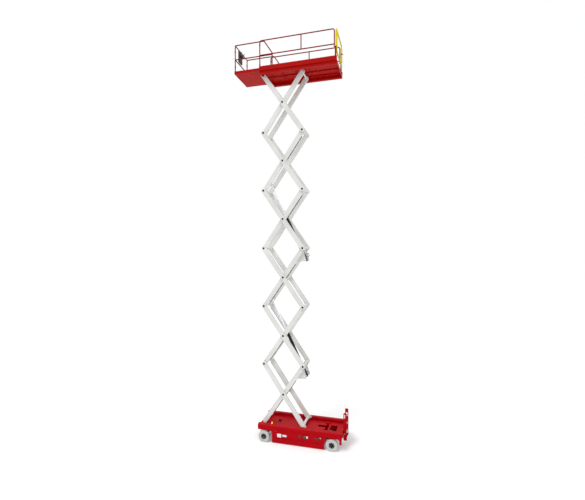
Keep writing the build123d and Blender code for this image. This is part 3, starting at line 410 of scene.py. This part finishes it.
def copied(piece, move=(0, 0, 0), mirrored=False):
    """A copy, mirrored across the machine if asked, then moved."""
    alone(piece)
    bpy.ops.object.duplicate()
    made = bpy.context.object
    made.location = move
    if mirrored:
        made.scale = (1, -1, 1)
    set_down(made)
    if mirrored:
        bpy.ops.object.mode_set(mode="EDIT")
        bpy.ops.mesh.select_all(action="SELECT")
        bpy.ops.mesh.normals_make_consistent(inside=False)
        bpy.ops.object.mode_set(mode="OBJECT")
    return made


def rowed(piece, count, step):
    """An evenly spaced row of the piece."""
    alone(piece)
    bpy.ops.object.modifier_add(type="ARRAY")
    row = piece.modifiers[-1]
    row.count = count
    row.use_relative_offset = False
    row.use_constant_offset = True
    row.constant_offset_displace = step
    bpy.ops.object.modifier_apply(modifier=row.name)
    return piece


def joined(pieces):
    """One piece made of several, which takes the first one's place."""
    bpy.ops.object.select_all(action="DESELECT")
    for piece in pieces:
        piece.select_set(True)
    bpy.context.view_layer.objects.active = pieces[0]
    if len(pieces) > 1:
        bpy.ops.object.join()
    return pieces[0]


def spread(piece, places):
    """Copies of a piece at each (move, mirrored) place, joined, in place of the first."""
    made = [copied(piece, move, mirrored) for move, mirrored in places]
    bpy.data.objects.remove(piece)
    return joined(made)


def finished(piece, name, body, finish):
    """Shades, names and paints a piece, and puts it on its body."""
    alone(piece)
    bpy.ops.object.shade_smooth_by_angle(angle=SHARP)
    piece.name = piece.data.name = name
    piece.data.materials.clear()
    piece.data.materials.append(FINISHES[finish])
    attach(piece, body)
    return piece


def bolt(at, along, size, height):
    """A hexagon head on its washer."""
    rim = size * 1.35
    washer = turned([(0, 0), (0, rim), (0.0018, rim), (0.0018, 0)], at, along, 20)
    head = turned([(0.0015, 0), (0.0015, size), (height - 0.002, size), (height, size * 0.86), (height, 0)],
                  at, along, 6)
    return joined([washer, head])


def middle(node):
    """The middle of a node's box."""
    low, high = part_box(node)
    return (Vector(low) + Vector(high)) / 2


SHARP = radians(35)               # edges sharper than this stay sharp when a piece is shaded
NEAR_OUT, FAR_OUT = Vector((0, -1, 0)), Vector((0, 1, 0))
UP = Vector((0, 0, 1))
ORIGIN = Vector((0, 0, 0))
BOTH = ((ORIGIN, False), (ORIGIN, True))    # a piece and its mirror image
joints = {joint["name"]: joint for joint in frame["joints"]}


# ------------------------------------------------------------------ wheels
TYRE_HALF = [
    # distance from the tyre's middle plane, radius: tread, groove, shoulder, side wall, rim seat
    (0.0000, 0.2030), (0.0160, 0.2030), (0.0180, 0.1975), (0.0235, 0.1975), (0.0255, 0.2030),
    (0.0490, 0.2024), (0.0575, 0.1980), (0.0632, 0.1870), (0.0632, 0.1560), (0.0612, 0.1520),
    (0.0612, 0.1330), (0.0632, 0.1290), (0.0632, 0.1180), (0.0600, 0.1060), (0.0520, 0.0966),
]
BEAD = len(TYRE_HALF) - 1
TYRE_STEPS = 72
SIPE_EVERY, SIPE_DEPTH = 4, 0.005
SIPE_INNER, SIPE_OUTER = 0.026, 0.058
HUB_CAP = [(0.047, 0), (0.047, 0.0365), (0.054, 0.0365), (0.059, 0.032), (0.0615, 0.020), (0.062, 0)]
WHEEL_NUT = [(0.0255, 0), (0.0255, 0.0115), (0.038, 0.0115), (0.040, 0.0095), (0.040, 0.0055), (0.046, 0.005),
             (0.046, 0)]
NUTS, NUT_CIRCLE = 6, 0.065

# Everything is made on the first wheel, then copied to the four.
first = middle("front_near_tyre")
outline = TYRE_HALF + [(-reach, radius) for reach, radius in reversed(TYRE_HALF[1:])]
outline = outline[BEAD:] + outline[:BEAD] + [outline[BEAD]]
tyre = turned(outline, first, NEAR_OUT, TYRE_STEPS)


def is_sipe(at, out):
    spoke = at - first
    step = atan2(spoke.z, spoke.x) % (2 * pi) / (2 * pi) * TYRE_STEPS
    return SIPE_INNER < abs(spoke.y) < SIPE_OUTER and int(step) % SIPE_EVERY == 0


bpy.ops.object.mode_set(mode="EDIT")
pick(tyre, is_sipe)
bpy.ops.mesh.extrude_region_shrink_fatten(TRANSFORM_OT_shrink_fatten={"value": -SIPE_DEPTH})
bpy.ops.object.mode_set(mode="OBJECT")
cap = turned(HUB_CAP, first, NEAR_OUT)
nut = turned(WHEEL_NUT, first, NEAR_OUT, 6)
nuts = spread(nut, [(Vector((cos(a), 0, sin(a))) * NUT_CIRCLE, False)
                    for a in (k * pi / 3 for k in range(NUTS))])
for wheel in WHEELS:
    at = middle(f"{wheel}_tyre")
    far = at.y > 0
    move = Vector((at.x - first.x, 0, 0))
    body = f"{wheel}_wheel"
    skin = finished(copied(tyre, move, far), f"{wheel}_tread", body, "grey_tyre")
    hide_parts(f"{wheel}_tyre")
    finished(copied(cap, move, far), f"{wheel}_hub_cap", body, "black_paint")
    finished(copied(nuts, move, far), f"{wheel}_wheel_nuts", body, "zinc_steel")
for spare in (tyre, cap, nuts):
    bpy.data.objects.remove(spare)

# ------------------------------------------------------------------ scissor pins
base_x, _, base_z = joints["lift"]["pos_m"]
centre_x, _, centre_z = joints["centre_pivot_1"]["pos_m"]
REACH, RISE = 2 * (centre_x - base_x), 2 * (centre_z - base_z)
ARM_SLOPE = atan2(RISE, REACH)
ALONG = Vector((cos(ARM_SLOPE), 0, sin(ARM_SLOPE)))
STAGES = 6
PIN_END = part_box("outer_arms_2")[1][1]
PIN_HEAD = 0.008                  # a pin stands this far out of the outer arm
END_PIN_STEP = 0.016              # the topmost outer arm's end pin stands further out
OUTER_FACE = PIN_END - PIN_HEAD
INNER_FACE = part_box("inner_arms_2")[1][1]
ARM_WIDE = 0.070
TUBE_R = 0.045
BOSS = [(0, 0.0306), (0.005, 0.0306), (0.005, 0.045), (0.002, 0.050), (-0.0005, 0.050), (0, 0.0306)]
KEEPER_DISC = [(-0.0005, 0), (-0.0005, 0.034), (0.002, 0.036), (0.004, 0.034), (0.004, 0)]
KEEPER_NUT = [(0.004, 0), (0.004, 0.015), (0.011, 0.015), (0.012, 0.013), (0.012, 0)]
TUBE_WELD = [(0, TUBE_R - 0.001), (0, TUBE_R + 0.010), (0.003, TUBE_R + 0.006), (0.010, TUBE_R),
             (0.010, TUBE_R - 0.001), (0, TUBE_R - 0.001)]

boss = turned(BOSS, (0, -OUTER_FACE, 0), NEAR_OUT)
keeper = joined([
    turned(KEEPER_DISC, (0, -PIN_END, 0), NEAR_OUT),
    turned(KEEPER_NUT, (0, -PIN_END, 0), NEAR_OUT, 6),
])
weld = turned(TUBE_WELD, (0, -(INNER_FACE - ARM_WIDE), 0), FAR_OUT)
for stage in range(1, STAGES + 1):
    low = base_z + (stage - 1) * RISE
    left, right = Vector((base_x, 0, low + RISE)), Vector((base_x + REACH, 0, low))
    centre = Vector((base_x + REACH / 2, 0, low + RISE / 2))
    pins = [centre]
    tubes = []
    if stage > 1:
        pins.append(right)
        tubes.append(Vector((base_x, 0, low)))
    if stage < STAGES:
        pins.append(left)
        tubes.append(Vector((base_x + REACH, 0, low + RISE)))
    places = [(pin, far) for pin in pins for far in (False, True)]
    finished(spread(copied(boss), places), f"outer_arm_bosses_{stage}", f"outer_{stage}", "arm_paint")
    caps = spread(copied(keeper), places)
    if stage == STAGES:
        end_cap = copied(keeper, (0, -END_PIN_STEP, 0))
        caps = joined([caps, spread(end_cap, [(left, False), (left, True)])])
    finished(caps, f"pin_keepers_{stage}", f"outer_{stage}", "black_paint")
    finished(spread(copied(weld), [(tube, far) for tube in tubes for far in (False, True)]),
             f"cross_tube_welds_{stage}", f"inner_{stage}", "arm_paint")
for spare in (boss, keeper, weld):
    bpy.data.objects.remove(spare)

# ------------------------------------------------------------------ hose clips
HOSE_CLIPS = {
    # stage: distances along the near inner arm
    1: (0.52, 1.04, 1.56),
    2: (0.30, 0.62, 0.94),
    3: (0.34, 0.86, 1.38, 1.80),
    4: (1.50, 1.84, 2.18),
    5: (1.50, 1.84, 2.18),
}
HOSE_R = 0.012
HOSE_BAND = [(-0.009, HOSE_R - 0.0005), (-0.009, HOSE_R + 0.003), (0.009, HOSE_R + 0.003),
             (0.009, HOSE_R - 0.0005), (-0.009, HOSE_R - 0.0005)]
HOSE_BELOW, ARM_BELOW = 0.088, 0.080
BELOW = Vector((sin(ARM_SLOPE), 0, -cos(ARM_SLOPE)))
hose_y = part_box("inner_hose_2")[0][1] + HOSE_R
clip = joined([
    turned(HOSE_BAND, BELOW * HOSE_BELOW + Vector((0, hose_y, 0)), ALONG, 20),
    block((0.018, 0.034, 0.003), BELOW * (ARM_BELOW + 0.0018) + Vector((0, hose_y - 0.024, 0)), 0.0008,
          -ARM_SLOPE, 1),
    bolt(BELOW * (ARM_BELOW + 0.003) + Vector((0, hose_y - 0.030, 0)), BELOW, 0.006, 0.006),
])
for stage, places in HOSE_CLIPS.items():
    start = Vector((base_x, 0, base_z + (stage - 1) * RISE))
    clips = spread(copied(clip), [(start + ALONG * reach, False) for reach in places])
    finished(clips, f"hose_clips_{stage}", f"inner_{stage}", "zinc_steel")
bpy.data.objects.remove(clip)

# ------------------------------------------------------------------ lift cylinders
BARREL_LEN = 1.680
BAND_ALONG, VALVE_ALONG, PORTS_ALONG = 0.42, 0.21, (0.190, 0.232)
VALVE_OFF, PORT_OFF = 0.078, 0.104
GLAND = [(0, 0.0552), (-0.030, 0.0552), (-0.030, 0.060), (-0.004, 0.060), (0.000, 0.057), (0.012, 0.052),
         (0.014, 0.0306), (0, 0.0306), (0, 0.0552)]
BARREL_BAND = [(0, 0.0548), (0, 0.0600), (0.018, 0.0600), (0.020, 0.0548), (0, 0.0548)]
HOSE_PORT = [(0, 0), (0, 0.013), (0.020, 0.013), (0.022, 0.009), (0.030, 0.009), (0.030, 0)]
for cylinder in ("lower", "upper"):
    pivot = Vector(joints[f"{cylinder}_barrel_pivot"]["pos_m"])
    way = Vector(joints[f"{cylinder}_rod_slide"]["axis"]).normalized()
    if way.z < 0:
        way = -way
    side = way.cross(FAR_OUT)
    gland = turned(GLAND, pivot + way * BARREL_LEN, way, 40)
    band = turned(BARREL_BAND, pivot + way * BAND_ALONG, way, 40)
    finished(joined([gland, band]), f"{cylinder}_cylinder_gland", f"{cylinder}_barrel", "black_paint")
    valve = block((0.070, 0.050, 0.056), pivot + way * VALVE_ALONG + side * VALVE_OFF, 0.004,
                  -atan2(way.z, way.x))
    ports = [turned(HOSE_PORT, pivot + way * along + side * PORT_OFF, side, 6) for along in PORTS_ALONG]
    finished(joined([valve, *ports]), f"{cylinder}_cylinder_valve", f"{cylinder}_barrel", "zinc_steel")

# ------------------------------------------------------------------ platform deck and rails
deck_low, deck_high = map(Vector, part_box("platform_deck"))
ext_low = Vector(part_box("extension_deck")[0])
FLOOR_TOP = joints["platform_pivot"]["pos_m"][2] + 0.088
EXT_TOP = FLOOR_TOP + 0.018
MID_RAIL, RAIL_TOP = FLOOR_TOP + 0.535, FLOOR_TOP + 1.070
TREADS = {
    # piece: (body, front, rear, half width, height of the floor)
    "deck_tread": ("platform", deck_low.x + 0.09, deck_high.x - 0.07, 0.57, FLOOR_TOP),
    "extension_tread": ("extension", ext_low.x + 0.07, deck_low.x + 0.02, 0.52, EXT_TOP),
}
TREAD_PITCH = 0.085
TREAD_BAR = (0.034, 0.009, 0.0028)
BAR_TURN = 0.6                    # radians, to one side and to the other by turns
for name, (body, front, rear, half, top) in TREADS.items():
    bars = []
    for offset, turn in ((0, BAR_TURN), (TREAD_PITCH / 2, -BAR_TURN)):
        bar = cube(TREAD_BAR, (front + offset, -half + offset, top + 0.0006), (0, 0, turn))
        bars.append(stepped(bar, faces_up, 0.0016, (0, 0, 0.0006)))
    bars = joined(bars)
    rowed(bars, int((rear - front) / TREAD_PITCH), (TREAD_PITCH, 0, 0))
    rowed(bars, int(2 * half / TREAD_PITCH), (0, TREAD_PITCH, 0))
    finished(bars, name, body, "deck_red")

RAIL_R = 0.019
RAIL_COLLAR = [(-0.028, RAIL_R), (-0.028, RAIL_R + 0.005), (0.028, RAIL_R + 0.005), (0.028, RAIL_R),
               (-0.028, RAIL_R)]
RAIL_FOOT = [(0, RAIL_R), (0, RAIL_R + 0.0058), (0.006, RAIL_R + 0.0052), (0.006, RAIL_R + 0.003),
             (0.016, RAIL_R + 0.0005), (0.016, RAIL_R), (0, RAIL_R)]
RAIL_FITTINGS = {
    # piece: (body, x of the post, distance off the middle, floor, heights of the collars)
    "deck_rail_fittings": ("platform", deck_low.x + 0.025, 0.604, FLOOR_TOP, (0.20, 0.90)),
    "extension_rail_fittings": ("extension", ext_low.x + 0.025, 0.552, EXT_TOP, (0.25, 0.80)),
}
collar = turned(RAIL_COLLAR, ORIGIN, UP, 24)
foot = turned(RAIL_FOOT, ORIGIN, UP, 24)
for name, (body, x, off, floor_z, heights) in RAIL_FITTINGS.items():
    fittings = [spread(copied(foot), [((x, y, floor_z), False) for y in (-off, off)])]
    fittings += [spread(copied(collar), [((x, y, floor_z + z), False) for y in (-off, off)]) for z in heights]
    finished(joined(fittings), name, body, "rail_red")
for spare in (foot, collar):
    bpy.data.objects.remove(spare)

# gate: hinge sleeves and a guard on the near post, a latch on the far one
GATE_R = 0.0242
HINGE_SLEEVE = [(-0.040, GATE_R), (-0.040, 0.030), (0.040, 0.030), (0.040, GATE_R), (-0.040, GATE_R)]
POST_SLEEVE = [(0, GATE_R), (0, 0.032), (0.006, 0.034), (0.494, 0.034), (0.500, 0.032), (0.500, GATE_R),
               (0, GATE_R)]
LATCH_KNOB = [(0, 0), (0, 0.011), (0.035, 0.011), (0.042, 0.017), (0.052, 0.015), (0.052, 0)]
HINGE_HEIGHTS, LATCH_HEIGHT, SLEEVE_HEIGHT = (0.39, 1.00), 0.74, 0.450
gate_x, gate_y, _ = joints["gate_hinge"]["pos_m"]
sleeve = turned(HINGE_SLEEVE, (gate_x, gate_y, 0), UP, 28)
finished(spread(sleeve, [((0, 0, FLOOR_TOP + z), False) for z in HINGE_HEIGHTS]),
         "gate_hinge_sleeves", "gate", "yellow_paint")
latch = joined([
    block((0.030, 0.070, 0.050), (gate_x, -gate_y - 0.01, FLOOR_TOP + LATCH_HEIGHT), 0.005),
    turned(LATCH_KNOB, (gate_x + 0.012, -gate_y - 0.01, FLOOR_TOP + LATCH_HEIGHT), (1, 0, 0), 20),
])
finished(latch, "gate_latch", "gate", "black_paint")
guard = turned(POST_SLEEVE, (gate_x, gate_y, FLOOR_TOP + SLEEVE_HEIGHT), UP, 28)
finished(spread(guard, BOTH), "gate_post_sleeves", "gate", "yellow_paint")

# ------------------------------------------------------------------ platform control box
box_low = Vector(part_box("platform_control_box")[0])
BOX_BACK, BOX_NEAR, BOX_FAR = box_low.x + 0.002, box_low.y + 0.004, box_low.y + 0.270
BOX_BOTTOM, BOX_TOP = MID_RAIL + 0.010, RAIL_TOP - 0.100
BOX_Y = (BOX_NEAR + BOX_FAR) / 2
CONSOLE_AT = (BOX_BACK + 0.078, BOX_Y, BOX_TOP - 0.110)
CONSOLE_TILT = radians(16)
STICK = [(0, 0), (0, 0.026), (0.006, 0.025), (0.009, 0.019), (0.014, 0.021), (0.018, 0.014),
         (0.024, 0.009), (0.052, 0.009), (0.056, 0.015), (0.072, 0.016), (0.080, 0.010), (0.080, 0)]
BOX_STOP = [(0, 0), (0, 0.012), (0.010, 0.012), (0.012, 0.021), (0.020, 0.022), (0.025, 0.016), (0.026, 0)]
case = block((0.058, BOX_FAR - BOX_NEAR, BOX_TOP - BOX_BOTTOM),
             (BOX_BACK + 0.029, BOX_Y, (BOX_TOP + BOX_BOTTOM) / 2), 0.010, 0, 3)
console = block((0.062, BOX_FAR - BOX_NEAR - 0.012, 0.175), CONSOLE_AT, 0.012, -CONSOLE_TILT, 3)
plate = block((0.004, 0.24, 0.19), (BOX_BACK + 0.060, BOX_Y, BOX_BOTTOM + 0.12), 0.0015)
hooks = [block((0.030, 0.040, 0.012), (BOX_BACK + 0.016, BOX_Y + y, BOX_TOP + 0.004), 0.003)
         for y in (-0.08, 0.08)]
shell = finished(joined([case, console, plate, *hooks]), "control_box_case", "extension", "black_plastic")
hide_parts("platform_control_box")
tipped = Vector((cos(CONSOLE_TILT), 0, sin(CONSOLE_TILT)))
face = Vector(CONSOLE_AT) + tipped * 0.031
stick = turned(STICK, face + FAR_OUT * 0.05, tipped, 28)
finished(stick, "control_stick", "extension", "black_plastic")
stop = turned(BOX_STOP, face - FAR_OUT * 0.07 + UP * 0.04, tipped, 28)
finished(stop, "control_stop_button", "extension", "signal_red")

# ------------------------------------------------------------------ entry ladder
LADDER_BACK = Vector(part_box("entry_ladder")[1]).x
RUNGS = (0.300, 0.560, 0.820)     # heights of the treads
TOOTH = (0.011, 0.010, 0.0030)
treads = []
for z in RUNGS:
    tooth = cube(TOOTH, (LADDER_BACK - 0.059 - 0.036, -0.185, z + 0.0012))
    stepped(tooth, faces_up, 0.002)
    rowed(tooth, 5, (0.018, 0, 0))
    rowed(tooth, 20, (0, 0.0195, 0))
    treads.append(tooth)
finished(joined(treads), "ladder_treads", "chassis", "red_paint")

# ------------------------------------------------------------------ chassis, near side
SIDE = 0.608                      # half the width over the skirts
AX = joints["near_guard_hinge"]["pos_m"][0]    # x of the middle of the wheels
PLATES = {
    # bare plate: (x off the middle of the wheels, height, width, depth)
    "plate_front": (-0.640, 0.300, 0.150, 0.125),
    "plate_middle": (-0.450, 0.312, 0.150, 0.070),
}
for name, (x, z, wide, tall) in PLATES.items():
    label = block((wide, 0.0095, tall), (AX + x, -SIDE - 0.0045, z), 0.0015)
    finished(label, name, "near_door", "bare_plate")

# ground controls: a bevelled panel with a stop button, a bare plate and a selector
PANEL_SIZE = (0.228, 0.010, 0.148)
STOP_AT_X, STOP_AT_Z = AX + 0.275, 0.370
STOP_RING = [(-0.0005, 0.020), (-0.0005, 0.036), (0.003, 0.036), (0.005, 0.032), (0.005, 0.020),
             (-0.0005, 0.020)]
STOP_BUTTON = [(-0.0005, 0), (-0.0005, 0.0195), (0.006, 0.0195), (0.0095, 0.016), (0.0105, 0)]
SWITCH_AT = (AX + 0.090, -SIDE - 0.008, 0.3625)
SWITCH = [(-0.0005, 0), (-0.0005, 0.044), (0.004, 0.043), (0.008, 0.030), (0.012, 0.026), (0.012, 0)]
panel_low, panel_high = map(Vector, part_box("ground_control_panel"))
panel_x, panel_z = (panel_low.x + panel_high.x) / 2, (panel_low.z + panel_high.z) / 2
panel = block(PANEL_SIZE, (panel_x, panel_high.y - 0.005, panel_z), 0.003)
stepped(panel, lambda at, away: away.y < -0.9, 0.010, (0, 0.0025, 0))
panel_y = panel_high.y - 0.0075
corners = [bolt((panel_x + x, panel_y - 0.0003, panel_z + z), NEAR_OUT, 0.004, 0.004)
           for x in (-0.098, 0.098) for z in (-0.058, 0.058)]
panel = finished(joined([panel, *corners]), "ground_panel_face", "near_door", "red_paint")
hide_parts("ground_control_panel")
ring = turned(STOP_RING, (STOP_AT_X, panel_y, STOP_AT_Z), NEAR_OUT)
# painted shade: a flat black plate set proud of the panel where its recess lies in shadow, in place of a cut
# recess
recess_shade = block((0.120, 0.006, 0.034), (panel_x - 0.01, panel_y - 0.001, 0.3180), 0.0028)
selector = block((0.030, 0.006, 0.030), (panel_low.x + 0.032, panel_y - 0.001, 0.370), 0.0028)
finished(joined([ring, recess_shade, selector]), "ground_control_trim", "near_door", "black_plastic")
button = turned(STOP_BUTTON, (STOP_AT_X, panel_y, STOP_AT_Z), NEAR_OUT)
finished(button, "ground_stop_button", "near_door", "signal_red")
bare = block((0.052, 0.0014, 0.072), (AX + 0.365, panel_y - 0.0005, 0.368), 0.0006, 0, 1)
finished(bare, "plate_panel", "near_door", "bare_plate")
key_switch = joined([
    turned(SWITCH, SWITCH_AT, NEAR_OUT),
    block((0.012, 0.010, 0.056), (SWITCH_AT[0], -SIDE - 0.019, SWITCH_AT[2]), 0.002),
])
finished(key_switch, "selector_switch", "near_door", "black_plastic")

# ------------------------------------------------------------------ chassis, both sides
PULL_SIZE = (0.150, 0.010, 0.068)
PULL_X, PULL_Z = AX + 0.700, 0.350
LOCK = [(-0.0005, 0), (-0.0005, 0.020), (0.002, 0.020), (0.0035, 0.017), (0.0035, 0)]
LOCK_X, LOCK_Z = AX + 0.824, 0.39
HINGE_X, HINGE_SCREWS = AX - 0.785, (0.262, 0.298, 0.422, 0.458)
KINGPIN_CAP = [(0, 0), (0, 0.024), (0.008, 0.024), (0.013, 0.018), (0.015, 0)]
MOTOR_FIN = [(0, 0.0815), (0, 0.088), (0.004, 0.088), (0.006, 0.0815), (0, 0.0815)]
MOTOR_X, MOTOR_Y, HUB_Z = AX + 1.215, 0.33, 0.203
FINS, FIN_PITCH = 10, 0.0155
LADDER_BOLTS = (0.495, 0.590)
for side, out in (("near", -1), ("far", 1)):
    outward = (0, out, 0)
    pull = block(PULL_SIZE, (PULL_X, out * (SIDE + 0.0085), PULL_Z), 0.0035, 0, 3)
    stepped(pull, lambda at, away: away.y * out > 0.9, 0.006, (0, -out * 0.005, 0))
    finished(pull, f"{side}_door_pull", f"{side}_door", "black_plastic")
    turn_lock = joined([
        turned(LOCK, (LOCK_X, out * SIDE, LOCK_Z), outward),
        block((0.005, 0.006, 0.024), (LOCK_X, out * (SIDE + 0.0045), LOCK_Z), 0.001),
    ])
    finished(turn_lock, f"{side}_door_lock", f"{side}_door", "zinc_steel")
    screws = [bolt((HINGE_X, out * (SIDE + 0.001), z), outward, 0.006, 0.005) for z in HINGE_SCREWS]
    finished(joined(screws), f"{side}_hinge_screws", f"{side}_door", "zinc_steel")
    kingpin = Vector(joints[f"{side}_steer"]["pos_m"])
    king_cap = turned(KINGPIN_CAP, (kingpin.x, kingpin.y, kingpin.z + 0.1025), UP)
    finished(king_cap, f"{side}_kingpin_cap", f"{side}_knuckle", "zinc_steel")
    fins = turned(MOTOR_FIN, (MOTOR_X, out * MOTOR_Y, HUB_Z), outward, 40)
    rowed(fins, FINS, (0, out * FIN_PITCH, 0))
    finished(fins, f"{side}_motor_fins", "chassis", "black_paint")
    flange = [bolt((LADDER_BACK - 0.118 - 0.030, out * 0.208, z), outward, 0.009, 0.008)
              for z in LADDER_BOLTS]
    finished(joined(flange), f"{side}_ladder_bolts", "chassis", "zinc_steel")

# ------------------------------------------------------------------ chassis, on the deck and in the bays
MANIFOLD_X = AX - 0.80
FITTING = [(0, 0), (0, 0.014), (0.018, 0.014), (0.020, 0.010), (0.030, 0.010), (0.030, 0)]
manifold = block((0.100, 0.060, 0.036), (MANIFOLD_X, 0.0, 0.5558), 0.005)
fittings = [turned(FITTING, (MANIFOLD_X + x, 0.0, 0.573), UP, 6) for x in (-0.032, 0.0, 0.032)]
finished(joined([manifold, *fittings]), "valve_manifold", "chassis", "black_paint")

BEACON_BASE = [(-0.0005, 0.0285), (-0.0005, 0.034), (0.010, 0.033), (0.013, 0.0285), (-0.0005, 0.0285)]
beacon_low, beacon_high = map(Vector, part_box("beacon"))
beacon = (beacon_low + beacon_high) / 2
base = turned(BEACON_BASE, (beacon.x, beacon.y, beacon_low.z), UP)
finished(base, "beacon_base", "chassis", "black_plastic")

CELL_CAP = [(-0.0005, 0), (-0.0005, 0.020), (0.010, 0.018), (0.012, 0.013), (0.012, 0)]
battery_low, battery_high = map(Vector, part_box("battery_pack"))
vent = turned(CELL_CAP, (battery_low.x + 0.075, -0.500, battery_high.z), UP, 16)
rowed(vent, 6, (0.15, 0, 0))
rowed(vent, 2, (0, 0.09, 0))
finished(spread(vent, BOTH), "battery_caps", "chassis", "battery_case")
